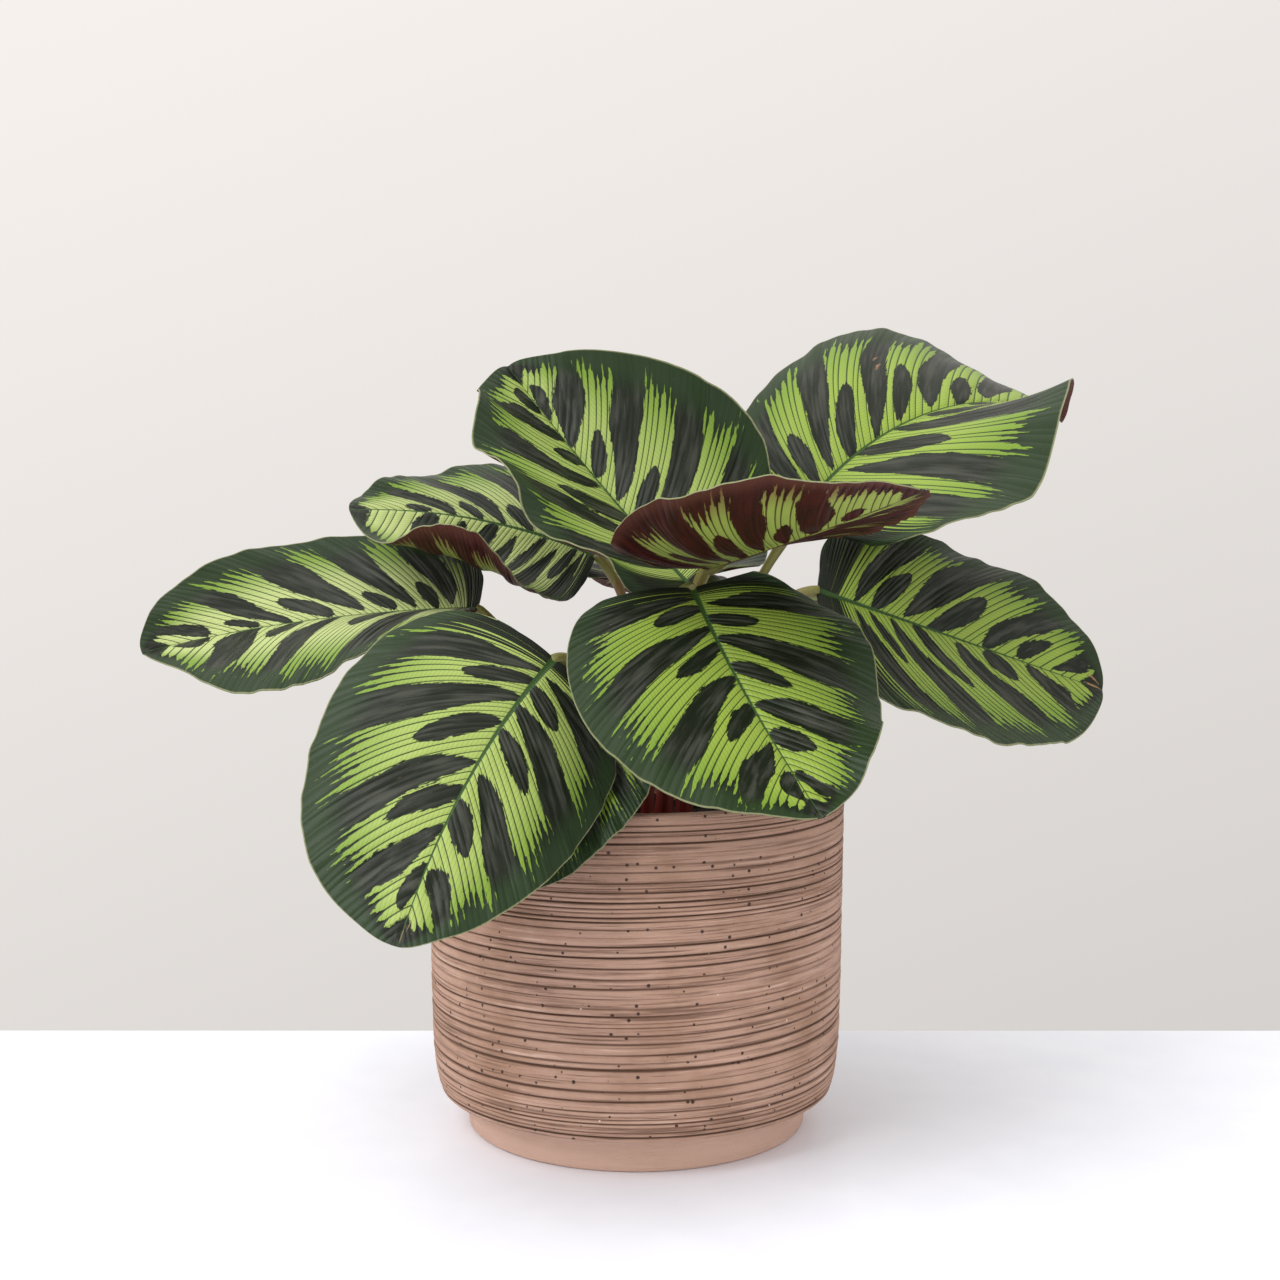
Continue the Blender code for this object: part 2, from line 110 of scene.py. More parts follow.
# Each leaf, by where it stands seen from the front.
#   base: where the blade meets its stalk.   root: where the stalk leaves the soil, x and y.
#   heading: the way the midrib points in plan, 0 to the right and 270 to the front.
#   swerve: how far the heading has turned at the tip.
#   pitch: the midrib's rise at its base.   droop: how far the pitch has changed at the tip.
#   roll and twist: the blade's turn about its midrib, at the base and gained by the tip.
#   length, and half width, egg, fold and curl for the (left, right) halves.
#   wave: the height of the margin's waves, and start where along it they begin.
#   arrive: the stalk's rise where it reaches the blade.   reach: how far it runs that way.
LEAVES = {
    "far_left": dict(
        base=(-58, 3, 188), root=(-17, 1), heading=175, swerve=37, pitch=-1, droop=-11,
        roll=-12, twist=-17, length=119, half=(55, 44), egg=(-0.19, 0.21),
        fold=(18, 19), curl=(-26, 3), wave=(0.8, 1.2), start=(0.64, 0.67), waves=4,
        arrive=85, reach=8,
    ),
    "front_left": dict(
        base=(-27, -60, 175), root=(-9, -15), heading=235, swerve=8, pitch=-30, droop=-27,
        roll=-36, twist=26, length=114, half=(42, 56), egg=(0.21, 0.15),
        fold=(-6, 10), curl=(-37, -30), wave=(1.1, 0.8), start=(0.26, 0.08), waves=3,
        arrive=30, reach=25,
    ),
    "front": dict(
        base=(19, -47, 198), root=(4, -18), heading=293, swerve=1, pitch=-41, droop=12,
        roll=7, twist=8, length=109, half=(46, 53), egg=(0.29, 0.19),
        fold=(13, 9), curl=(-26, -22), wave=(3.3, 0.6), start=(0.02, 0.6), waves=3,
        arrive=40, reach=22,
    ),
    "top": dict(
        base=(20, -9, 196), root=(9, -4), heading=144, swerve=5, pitch=41, droop=8,
        roll=-24, twist=-11, length=114, half=(53, 56), egg=(0.12, 0.34),
        fold=(25, 30), curl=(5, 38), wave=(3.9, 0.8), start=(0.15, 0.22), waves=4,
        arrive=60, reach=25,
    ),
    "back_left": dict(
        base=(-15, 28, 207), root=(-10, 8), heading=179, swerve=25, pitch=23, droop=-25,
        roll=-49, twist=22, length=93, half=(60, 45), egg=(-0.32, 0.43),
        fold=(-17, 4), curl=(90, -29), wave=(0.8, 1.7), start=(0.12, 0.26), waves=4,
        arrive=60, reach=30,
    ),
    "top_right": dict(
        base=(60, 18, 221), root=(17, 5), heading=22, swerve=14, pitch=52, droop=-68,
        roll=28, twist=-24, length=137, half=(60, 66), egg=(-0.12, 0.55),
        fold=(32, 4), curl=(-28, -3), wave=(3.2, 11), start=(0.0, 0.78), waves=2,
        arrive=60, reach=30,
    ),
    "folded": dict(
        base=(25, -35, 205), root=(11, -12), heading=293, swerve=24, pitch=9, droop=9,
        roll=10, twist=-15, length=107, half=(44, 49), egg=(0.32, 0.17),
        fold=(14, 6), curl=(-23, 26), wave=(0.6, 1.3), start=(0.24, 0.55), waves=4,
        arrive=55, reach=25,
    ),
    "right": dict(
        base=(66, 0, 195), root=(18, -5), heading=20, swerve=-4, pitch=-18, droop=-1,
        roll=53, twist=1, length=123, half=(46, 60), egg=(-0.05, 0.27),
        fold=(18, 6), curl=(-39, 26), wave=(1.5, 0.8), start=(0.51, 0.68), waves=4,
        arrive=25, reach=25,
    ),
    "low_front": dict(
        base=(-8, -42, 150), root=(-3, -25), heading=232, swerve=0, pitch=-15, droop=-60,
        roll=-10, twist=-8, length=71, half=(31, 26), egg=(0.17, 0.17),
        fold=(5, 5), curl=(-10, -10), wave=(0.8, 0.8), start=(0.2, 0.1), waves=3,
        arrive=30, reach=14,
    ),
    "back": dict(
        base=(8, 38, 194), root=(4, 17), heading=94, swerve=0, pitch=16, droop=-40,
        roll=0, twist=0, length=108, half=(48, 48), egg=(0.17, 0.17),
        fold=(15, 15), curl=(-12, -12), wave=(1.8, 1.8), start=(0.1, 0.6), waves=4,
        arrive=55, reach=30,
    ),
    "back_right": dict(
        base=(36, 36, 188), root=(10, 15), heading=50, swerve=-6, pitch=6, droop=-34,
        roll=0, twist=6, length=104, half=(46, 46), egg=(0.17, 0.17),
        fold=(12, 14), curl=(-8, -14), wave=(1.5, 2.0), start=(0.5, 0.2), waves=4,
        arrive=45, reach=30,
    ),
    "low_back": dict(
        base=(-26, 42, 154), root=(-11, 17), heading=140, swerve=8, pitch=-4, droop=-36,
        roll=4, twist=0, length=98, half=(43, 43), egg=(0.17, 0.17),
        fold=(10, 10), curl=(-10, -14), wave=(1.5, 1.5), start=(0.3, 0.7), waves=4,
        arrive=30, reach=22,
    ),
}

# The dark bars on each blade's (left, right) half, by where along the midrib each starts
BARS = {
    "far_left": ((0.45, 0.70, 0.85), (0.34, 0.50, 0.64, 0.795, 0.905)),
    "front_left": ((0.34, 0.53, 0.725, 0.90), (0.34, 0.51, 0.71, 0.85)),
    "front": ((0.34, 0.545, 0.755, 0.925), (0.30, 0.49, 0.68, 0.85)),
    "top": ((0.37, 0.54, 0.72, 0.86), (0.35, 0.515, 0.68, 0.84)),
    "back_left": ((0.30, 0.46, 0.62, 0.78), (0.36, 0.52, 0.67, 0.80)),
    "top_right": ((0.33, 0.485, 0.64, 0.76, 0.88), (0.35, 0.50, 0.68, 0.84)),
    "folded": ((0.32, 0.48, 0.66, 0.82), (0.31, 0.475, 0.655, 0.81)),
    "right": ((0.42, 0.60, 0.795, 0.925), (0.42, 0.565, 0.73, 0.885)),
    "low_front": ((0.34, 0.50, 0.67, 0.84), (0.36, 0.54, 0.72, 0.88)),
    "back": ((0.33, 0.50, 0.68, 0.84), (0.35, 0.52, 0.70, 0.86)),
    "back_right": ((0.34, 0.52, 0.69, 0.85), (0.32, 0.49, 0.66, 0.83)),
    "low_back": ((0.35, 0.52, 0.70, 0.86), (0.33, 0.50, 0.67, 0.84)),
}
# How pale a leaf's light paint is, partly its own paler paint and partly painted sheen, and where it starts if
# later than on the others
PALE_AND_SHEEN = {"far_left": 1.0, "front_left": 0.4, "top": 0.4, "back_left": 0.8}
LATE = {"right": 0.08}
# Brown scars: along, across (left is positive), radius in millimetres, strength
SCARS = {
    "front_left": ((0.99, 0.05, 1.6, 1.0), (0.97, 0.25, 1.0, 0.8)),
    "right": ((0.995, 0.1, 3.5, 1.0), (0.975, 0.5, 2.0, 0.9)),
    "top_right": ((0.64, 0.52, 0.9, 0.9), (0.63, 0.6, 0.7, 0.8), (0.5, 0.93, 1.0, 0.6)),
    "far_left": ((0.2, 0.92, 1.6, 0.5),),
    "back": ((0.99, 0.1, 2.0, 0.9),),
}
BAR_SPREAD = 0.245
OVAL_SPREAD = 0.17
OVAL_START = -0.02
OVAL_STOP = 0.41
OVAL_LAST = 0.935
PAINT_START = 0.24
PAINT_FULL = 0.38
PAINT_END = 0.88
PAINT_TIP = 0.965

# A blade's grid: each stripe between two side veins is two rows of faces
STRIPES = 54
COLUMNS = 44
PLEAT_DEPTH = 1.1
PLEAT_WIDTH = 0.03
RIPPLE = 0.4


def srgb(red, green, blue):
    """A colour given as 0 to 255 in sRGB, as the linear colour that shaders take."""
    share = np.array([red, green, blue]) / 255
    linear = np.where(share <= 0.04045, share / 12.92, ((share + 0.055) / 1.055) ** 2.4)
    return tuple(float(value) for value in linear)


def unit(vectors):
    return vectors / np.linalg.norm(vectors, axis=-1, keepdims=True)


def smooth_step(low, high, values):
    share = np.clip((values - low) / (high - low), 0, 1)
    return share * share * (3 - 2 * share)


def flat_blade(along, across, length, half, egg):
    """The flat blade: a side vein leaves the midrib at `along` (0 base, 1 tip) and runs out
    to the margin as a bowed curve, and `across` is how far out on it a point lies."""
    turn = np.pi * along
    margin_x = 0.5 - 0.5 * np.cos(turn) - BASE_LOBE * np.sin(np.minimum(2 * turn, np.pi)) ** 2
    margin_x = margin_x + TIP_POINT * np.exp(-(((1 - along) / TIP_REACH) ** 2))
    margin_y = np.maximum(np.sin(turn), 0) ** FULLNESS * (1 + egg * np.cos(turn)) * half
    margin_x = margin_x * length
    start_x = along**VEIN_LEAN * (1 + TIP_POINT) * length
    run = margin_x - start_x
    bend_x = start_x + 0.5 * run - VEIN_BOW * margin_y
    bend_y = 0.5 * margin_y + VEIN_BOW * run
    rest = 1 - across
    x = rest**2 * start_x + 2 * across * rest * bend_x + across**2 * margin_x
    y = 2 * across * rest * bend_y + across**2 * margin_y
    return x, np.maximum(y, 0)


def direction(heading, pitch):
    heading, pitch = np.radians(heading), np.radians(pitch)
    level = np.cos(pitch)
    return np.stack([level * np.cos(heading), level * np.sin(heading), np.sin(pitch)], -1)


def midrib(leaf, x):
    """The midrib's point at x along it, the blade's own left, and its upward normal. The
    midrib bends evenly from its base to its tip."""
    length = leaf["length"] * (1 + TIP_POINT)
    steps = np.linspace(0, 1, 65)
    ways = direction(leaf["heading"] + leaf["swerve"] * steps, leaf["pitch"] + leaf["droop"] * steps)
    runs = (ways[1:] + ways[:-1]) / 2 * length / (len(steps) - 1)
    line = np.concatenate([np.zeros((1, 3)), np.cumsum(runs, axis=0)])
    share = np.clip(x / length, 0, 1)
    heading = leaf["heading"] + leaf["swerve"] * share
    ahead = direction(heading, leaf["pitch"] + leaf["droop"] * share)
    centre = np.stack([np.interp(share, steps, line[:, i]) for i in range(3)], -1)
    centre = centre + np.array(leaf["base"]) + ahead * (x - share * length)[..., None]
    level_left = direction(heading + 90, 0 * share)
    above = np.cross(ahead, level_left)
    roll = np.radians(leaf["roll"] + leaf["twist"] * share)[..., None]
    left = level_left * np.cos(roll) + above * np.sin(roll)
    return centre, left, above * np.cos(roll) - level_left * np.sin(roll)


def blade_point(leaf, along, across):
    """The blade's middle surface. Each half is an arc that leaves the midrib at its fold
    and turns by its curl, with waves that grow to the margin and die out at the tip. across
    is -1 at the right margin, 0 on the midrib and 1 at the left margin."""
    is_left = across >= 0
    out = np.abs(across)

    def of_half(key):
        return np.where(is_left, leaf[key][0], leaf[key][1])

    half = of_half("half")
    x, y = flat_blade(along, out, leaf["length"], half, of_half("egg"))
    centre, left, above = midrib(leaf, x)
    fold = np.radians(of_half("fold"))
    turned_by = np.radians(of_half("curl")) * y / half
    chord = y * np.sinc(turned_by / 2 / np.pi)
    sideways = chord * np.cos(fold + turned_by / 2)
    upward = chord * np.sin(fold + turned_by / 2)
    phase = math.tau * (leaf["waves"] * along + of_half("start"))
    wave = of_half("wave") * out**3 * np.sin(phase) * np.minimum((1 - along) / TIP_CALM, 1)
    sideways = sideways - wave * np.sin(fold + turned_by)
    upward = upward + wave * np.cos(fold + turned_by)
    sign = np.where(is_left, 1.0, -1.0)
    return centre + left * (sign * sideways)[..., None] + above * upward[..., None]


def grid_normals(grid):
    """A normal at each point of a grid of points: the sum of its faces' normals, each as
    strong as its face is large."""
    across_face = np.cross(grid[1:, 1:] - grid[:-1, :-1], grid[:-1, 1:] - grid[1:, :-1])
    total = np.zeros_like(grid)
    total[:-1, :-1] += across_face
    total[1:, :-1] += across_face
    total[:-1, 1:] += across_face
    total[1:, 1:] += across_face
    return unit(total)


def stalk_path(leaf):
    """Straight up out of its hole, then a cubic curve to the blade: the points, and the
    way that the stalk runs at each."""
    x, y = leaf["root"]
    ahead = direction(leaf["heading"], leaf["pitch"])
    rising = direction(leaf["heading"], leaf["arrive"])
    bottom = np.array([[x, y, SOIL_TOP - HOLE_DEPTH + FIT_GAP]])
    start = np.array([x, y, SOIL_TOP + STALK_RISE])
    end = np.array(leaf["base"])
    first = start + np.array([0, 0, STALK_SPRING * np.linalg.norm(end - start)])
    second = end - unit(ahead + rising) * leaf["reach"]
    t = np.linspace(0, 1, 56)[:, None]
    s = 1 - t
    line = s**3 * start + 3 * t * s**2 * first + 3 * t**2 * s * second + t**3 * end
    ways = unit(s**2 * (first - start) + 2 * t * s * (second - first) + t**2 * (end - second))
    ways[-1] = ahead
    return np.concatenate([bottom, line]), np.concatenate([ways[:1], ways])


def outer_radius(height):
    """The pot's wall: it curves in under the first rings, and flares a little above."""
    rise = (height - LIP_HEIGHT) / (POT_HEIGHT - LIP_HEIGHT)
    tuck = (POT_RADIUS - LIP_RADIUS) * np.exp(-(height - LIP_HEIGHT) / TUCK_REACH)
    return POT_RADIUS - tuck + POT_FLARE * rise


def inner_radius(height):
    drop = (POT_HEIGHT - height) / (POT_HEIGHT - SHOULDER)
    return outer_radius(POT_HEIGHT) - POT_WALL - INSIDE_TAPER * drop


def need_nodes(names):
    """Stops the script if the frame lacks a node that a piece stands for."""
    missing = [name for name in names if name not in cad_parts]
    if missing:
        raise RuntimeError("the frame has no " + ", ".join(missing))


def new_piece(name, points, faces, materials, replaced, sharp=40):
    """A mesh from points in millimetres that rides on the body and stands for a node."""
    mesh = bpy.data.meshes.new(name)
    mesh.from_pydata((np.asarray(points) * MM).tolist(), [], faces)
    for finish in materials:
        mesh.materials.append(finish)
    mesh.shade_smooth()
    mesh.set_sharp_from_angle(angle=math.radians(sharp))
    piece = bpy.data.objects.new(name, mesh)
    bpy.context.scene.collection.objects.link(piece)
    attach(piece, BODY)
    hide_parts(replaced)
    return piece


def write_attribute(mesh, name, kind, domain, values):
    made = mesh.attributes.new(name, kind, domain)
    key = "vector" if kind == "FLOAT_VECTOR" else "value"
    made.data.foreach_set(key, np.asarray(values, np.float32).ravel())


def ring_faces(rings, sides):
    """The faces of a closed shell of rings, with a flat face over each end."""
    row, column = np.meshgrid(np.arange(rings - 1), np.arange(sides), indexing="ij")
    low = row * sides
    beside = (column + 1) % sides
    quads = np.stack([low + column, low + beside, low + sides + beside, low + sides + column], -1)
    last = (rings - 1) * sides
    ends = [list(reversed(range(sides))), list(range(last, last + sides))]
    return quads.reshape(-1, 4).tolist() + ends


class Tree:
    """A node tree that is written as formulas: each call adds a node and gives its output."""

    def __init__(self, tree):
        self.tree = tree

    def link(self, value, socket):
        if isinstance(value, bpy.types.NodeSocket):
            self.tree.links.new(value, socket)
        else:
            socket.default_value = value

    def node(self, kind, settings=(), inputs=()):
        made = self.tree.nodes.new(kind)
        for key, value in dict(settings).items():
            setattr(made, key, value)
        for key, value in dict(inputs).items():
            self.link(value, made.inputs[key])
        return made

    def math(self, operation, *values):
        made = self.tree.nodes.new("ShaderNodeMath")
        made.operation = operation
        for value, socket in zip(values, made.inputs):
            self.link(value, socket)
        return made.outputs[0]

    def ramp(self, value, low, high):
        """A smooth step from 0 at low to 1 at high."""
        made = self.node(
            "ShaderNodeMapRange",
            {"interpolation_type": "SMOOTHSTEP"},
            {"Value": value, "From Min": low, "From Max": high},
        )
        return made.outputs["Result"]

    def mix(self, share, first, second):
        made = self.node("ShaderNodeMix", {"data_type": "RGBA"})
        self.link(share, made.inputs["Factor"])
        for value, index in ((first, 6), (second, 7)):
            if isinstance(value, tuple):
                value = (*value[:3], 1.0)
            self.link(value, made.inputs[index])
        return made.outputs[2]

    def vector(self, name):
        return self.node("ShaderNodeAttribute", {"attribute_name": name}).outputs["Vector"]

    def attribute(self, name):
        """The x, y and z of an attribute."""
        split = self.node("ShaderNodeSeparateXYZ", (), {"Vector": self.vector(name)})
        return split.outputs[0], split.outputs[1], split.outputs[2]

    def place(self):
        return self.node("ShaderNodeTexCoord").outputs["Object"]

    def stretched(self, vector, scale):
        made = self.node("ShaderNodeMapping", (), {"Vector": vector, "Scale": scale})
        return made.outputs["Vector"]

    def noise(self, vector, scale, detail=2.0, roughness=0.5):
        made = self.node(
            "ShaderNodeTexNoise",
            (),
            {"Vector": vector, "Scale": scale, "Detail": detail, "Roughness": roughness},
        )
        return made.outputs["Fac"]

    def spots(self, vector, scale, radius, share):
        """Round spots in a share of the cells of a Voronoi texture, 1 inside and 0 outside."""
        cells = self.node("ShaderNodeTexVoronoi", (), {"Vector": vector, "Scale": scale})
        split = self.node("ShaderNodeSeparateColor", (), {"Color": cells.outputs["Color"]})
        chosen = self.math("LESS_THAN", split.outputs[0], share)
        size = self.math("MULTIPLY_ADD", split.outputs[1], radius, 0.4 * radius)
        inside = self.ramp(self.math("SUBTRACT", size, cells.outputs["Distance"]), 0.0, 0.05)
        return self.math("MULTIPLY", chosen, inside)

    def bump(self, height, strength, distance):
        made = self.node(
            "ShaderNodeBump", (), {"Height": height, "Strength": strength, "Distance": distance}
        )
        return made.outputs["Normal"]


def new_material(name, colour):
    """A material with a Principled shader, and its tree to write formulas in."""
    made = bpy.data.materials.new(name)
    made.use_nodes = True
    made.diffuse_color = (*colour, 1.0)
    return made, Tree(made.node_tree), made.node_tree.nodes["Principled BSDF"]


def new_group(name, inputs, outputs):
    """A shader node group with named sockets, and its tree to write formulas in."""
    made = bpy.data.node_groups.new(name, "ShaderNodeTree")
    for label, value in inputs:
        socket = made.interface.new_socket(label, in_out="INPUT", socket_type="NodeSocketFloat")
        socket.default_value = value
    for label in outputs:
        made.interface.new_socket(label, in_out="OUTPUT", socket_type="NodeSocketFloat")
    tree = Tree(made)
    return made, tree, tree.node("NodeGroupInput").outputs, tree.node("NodeGroupOutput").inputs


def use_group(tree, group, inputs=()):
    return tree.node("ShaderNodeGroup", {"node_tree": group}, inputs).outputs


def painted_veins():
    """The painted veins of a blade, from three attributes. place holds how far along the
    blade a point is, how far across, and its distance from the midrib. paint holds how far
    it is from its stripe's middle, how far outside the dark marks, and how scarred. marks
    holds how far its stripe's light paint still runs, and the stripe's own random number."""
    outputs = (
        "Light", "Line", "Cross", "Midrib", "Margin", "Streak", "Pale", "Depth", "Scar", "Height",
    )
    inputs = (("Taper", 9.0), ("Line Width", 0.08), ("Rib Width", 1.7))
    group, tree, given, made = new_group("Painted Veins", inputs, outputs)
    runs, chance, pale = tree.attribute("marks")
    aside, outside, scar = tree.attribute("paint")
    along, across, out_mm = tree.attribute("place")
    margin = tree.math("ABSOLUTE", across)
    grain = tree.noise(tree.place(), 900.0, 2.0)
    ragged = tree.math("SUBTRACT", grain, 0.5)
    fibres = tree.noise(tree.stretched(tree.vector("place"), (240.0, 12.0, 0.0)), 1.0, 2.0)
    fray = tree.math("SUBTRACT", fibres, 0.5)
    fray = tree.math("MULTIPLY", fray, tree.ramp(along, 1.02, 0.86))
    point = tree.math("MULTIPLY", aside, given["Taper"])
    reach = tree.math("SUBTRACT", tree.math("MULTIPLY_ADD", fray, 16.0, runs), point)
    uneven = tree.math("MULTIPLY_ADD", fray, 2.6, tree.math("MULTIPLY_ADD", ragged, 0.9, outside))
    nearest = tree.math("MINIMUM", reach, uneven)
    own = tree.math("MULTIPLY_ADD", chance, 0.08, along)
    width = tree.ramp(own, PAINT_START, PAINT_FULL)
    slim = tree.math("SUBTRACT", tree.math("MULTIPLY", width, 1.25), aside)
    light = tree.math("MULTIPLY", tree.ramp(nearest, -0.15, 0.25), tree.ramp(slim, 0.0, 0.2))
    wide = tree.math("MULTIPLY_ADD", tree.ramp(margin, 0.2, 0.9), 0.1, given["Line Width"])
    line_edge = tree.math("SUBTRACT", 1.0, wide)
    line = tree.ramp(aside, tree.math("SUBTRACT", line_edge, 0.14), line_edge)
    shift = tree.math("MULTIPLY_ADD", chance, 7.3, tree.math("MULTIPLY", out_mm, 0.8))
    bricks = tree.math("ABSOLUTE", tree.math("SUBTRACT", tree.math("FRACT", shift), 0.5))
    cross = tree.ramp(bricks, 0.38, 0.5)
    rib_width = tree.math("MULTIPLY", given["Rib Width"], tree.math("SUBTRACT", 1.1, along))
    rib_soft = tree.math("MULTIPLY", rib_width, 0.6)
    rib = tree.math("SUBTRACT", 1.0, tree.ramp(out_mm, rib_soft, rib_width))
    streak = tree.noise(tree.stretched(tree.vector("place"), (60.0, 3.0, 0.0)), 1.0, 3.0)
    crown = tree.math("SUBTRACT", 1.0, tree.math("MULTIPLY", aside, aside))
    height = tree.math("MULTIPLY_ADD", grain, 0.25, crown)
    hurt = tree.ramp(tree.math("MULTIPLY_ADD", ragged, 1.2, scar), 0.2, 0.7)
    values = (light, line, cross, rib, margin, streak, pale, outside, hurt, height)
    for label, value in zip(outputs, values):
        tree.link(value, made[label])
    return group


def colour_property(label, description, default):
    return bpy.props.FloatVectorProperty(
        name=label, description=description, default=srgb(*default),
        subtype="COLOR", size=3, min=0.0, max=1.0,
    )


class PLANT_PG_leaf(bpy.types.PropertyGroup):
    light: colour_property("Light paint", "Yellow-green between the bars", (135, 160, 58))
    # The pale paint is partly a paler paint and partly painted sheen.
    pale: colour_property("Pale paint", "The light paint of a pale leaf", (178, 192, 126))
    light_out: colour_property("Outer paint", "Light paint near the margin", (114, 144, 50))
    dark: colour_property("Bars", "The green-black of the bars", (23, 30, 19))
    # The grey streaks on the bars are a painted sheen, the reflection of the bright room.
    painted_sheen: colour_property("Painted_sheen", "The grey bloom on the bars", (58, 61, 53))
    margin: colour_property("Margin", "The deep green band at the margin", (38, 55, 31))
    rib: colour_property("Midrib", "The green of the midrib", (52, 80, 38))
    under: colour_property("Underside", "The burgundy of the underside", (42, 12, 11))
    under_light: colour_property("Underside light", "Light paint seen from below", (148, 164, 78))
    scar: colour_property("Scars", "The brown of dried spots", (146, 112, 78))


class PLANT_PG_stalk(bpy.types.PropertyGroup):
    low: colour_property("Stalk base", "The red of the stalks at the soil", (104, 24, 18))
    middle: colour_property("Stalk middle", "The brown of the stalks half way", (108, 60, 32))
    high: colour_property("Stalk top", "The olive of the stalks below the blades", (110, 108, 48))


class PLANT_PG_pot(bpy.types.PropertyGroup):
    clay: colour_property("Clay", "The pinkish brown of the bands", (186, 150, 131))
    worn: colour_property("Worn clay", "The paler clay of rubbed bands", (212, 179, 161))
    # The dark brown of the cuts is painted shade in the grooves.
    cut: colour_property("Cuts", "The dark brown in the cut rings", (102, 74, 58))
    depth: bpy.props.FloatProperty(
        name="Cut depth", description="How deep the rings are cut, in millimetres",
        default=0.9, min=0.0, max=2.0,
    )
    tilt: bpy.props.FloatProperty(
        name="Ring tilt", description="How far the rings lean",
        default=math.radians(0.8), min=0.0, max=0.1, subtype="ANGLE",
    )


class PLANT_PG_soil(bpy.types.PropertyGroup):
    peat: colour_property("Peat", "The dark brown of the soil", (44, 32, 24))
    bark: colour_property("Bark", "The brown of the bark bits", (96, 66, 44))
    grit: colour_property("Grit", "The off-white of the grit", (206, 202, 192))


class PLANT_PG_stage(bpy.types.PropertyGroup):
    table: colour_property("Table", "The white of the table", (237, 241, 250))
    wall: colour_property("Backdrop", "The warm white behind the plant", (255, 250, 246))
    key: bpy.props.FloatProperty(
        name="Key light", description="The soft light from the upper left, in watts",
        default=36.0, min=0.0, max=100.0,
    )
    ambient: bpy.props.FloatProperty(
        name="Room light", description="The strength of the light from all round",
        default=0.8, min=0.0, max=3.0,
    )


def leaf_top_material(looks, veins):
    finish, tree, shader = new_material("leaf_top", tuple(looks.margin))
    marks = use_group(tree, veins)
    # The pale paint of some leaves is partly their own paler paint and partly painted sheen.
    paint = tree.mix(marks["Pale"], tuple(looks.light), tuple(looks.pale))
    paint = tree.mix(tree.ramp(marks["Margin"], 0.4, 0.85), paint, tuple(looks.light_out))
    paint = tree.mix(tree.math("MULTIPLY", marks["Cross"], 0.45), paint, srgb(66, 96, 30))
    paint = tree.mix(tree.math("MULTIPLY", marks["Line"], 0.9), paint, srgb(34, 56, 22))
    # Painted sheen: grey reflection streaks inside the bars, mixed into the colour.
    inner = tree.ramp(marks["Depth"], 0.3, -2.5)
    painted_sheen = tree.math("MULTIPLY", tree.ramp(marks["Streak"], 0.42, 0.66), inner)
    deep = tree.mix(painted_sheen, tuple(looks.dark), tuple(looks.painted_sheen))
    deep = tree.mix(tree.ramp(marks["Margin"], 0.7, 0.9), deep, tuple(looks.margin))
    colour = tree.mix(marks["Light"], deep, paint)
    colour = tree.mix(marks["Midrib"], colour, tuple(looks.rib))
    colour = tree.mix(tree.ramp(marks["Margin"], 0.988, 0.998), colour, srgb(128, 132, 96))
    colour = tree.mix(marks["Scar"], colour, tuple(looks.scar))
    tree.link(colour, shader.inputs["Base Color"])
    tree.link(tree.math("MULTIPLY_ADD", marks["Streak"], 0.2, 0.3), shader.inputs["Roughness"])
    shader.inputs["Specular IOR Level"].default_value = 0.18
    tree.link(tree.bump(marks["Height"], 0.45, 0.0005), shader.inputs["Normal"])
    return finish


def leaf_under_material(looks, veins):
    finish, tree, shader = new_material("leaf_under", tuple(looks.under))
    marks = use_group(tree, veins, {"Rib Width": 1.8})
    fade = tree.ramp(marks["Margin"], 0.6, 0.98)
    paint = tree.mix(fade, tuple(looks.under_light), srgb(112, 84, 54))
    paint = tree.mix(tree.math("MULTIPLY", marks["Line"], 0.85), paint, srgb(64, 26, 18))
    deep = tree.mix(tree.ramp(marks["Streak"], 0.3, 0.7), tuple(looks.under), srgb(64, 19, 17))
    deep = tree.mix(tree.ramp(marks["Margin"], 0.86, 1.0), deep, srgb(84, 46, 38))
    colour = tree.mix(marks["Light"], deep, paint)
    colour = tree.mix(marks["Midrib"], colour, srgb(92, 72, 40))
    colour = tree.mix(marks["Scar"], colour, tuple(looks.scar))
    tree.link(colour, shader.inputs["Base Color"])
    shader.inputs["Roughness"].default_value = 0.5
    shader.inputs["Specular IOR Level"].default_value = 0.22
    tree.link(tree.bump(marks["Height"], 0.5, 0.0005), shader.inputs["Normal"])
    return finish


def lens(along, across, place, spread, start, stop, scale):
    """How far in millimetres a point lies outside a lens-shaped mark, and less than 0
    inside it. The mark is widest midway between its start and its stop."""
    reach = (stop - start) / 2
    off = (across - start - reach) / reach
    width = spread * np.maximum(1 - off**2, 0) ** 0.7
    beside = (np.abs(along - place) - width) * scale[0]
    beyond = (np.abs(off) - 1) * reach * scale[1]
    return np.where(beyond > 0, np.hypot(np.maximum(beside, 0), beyond), beside)


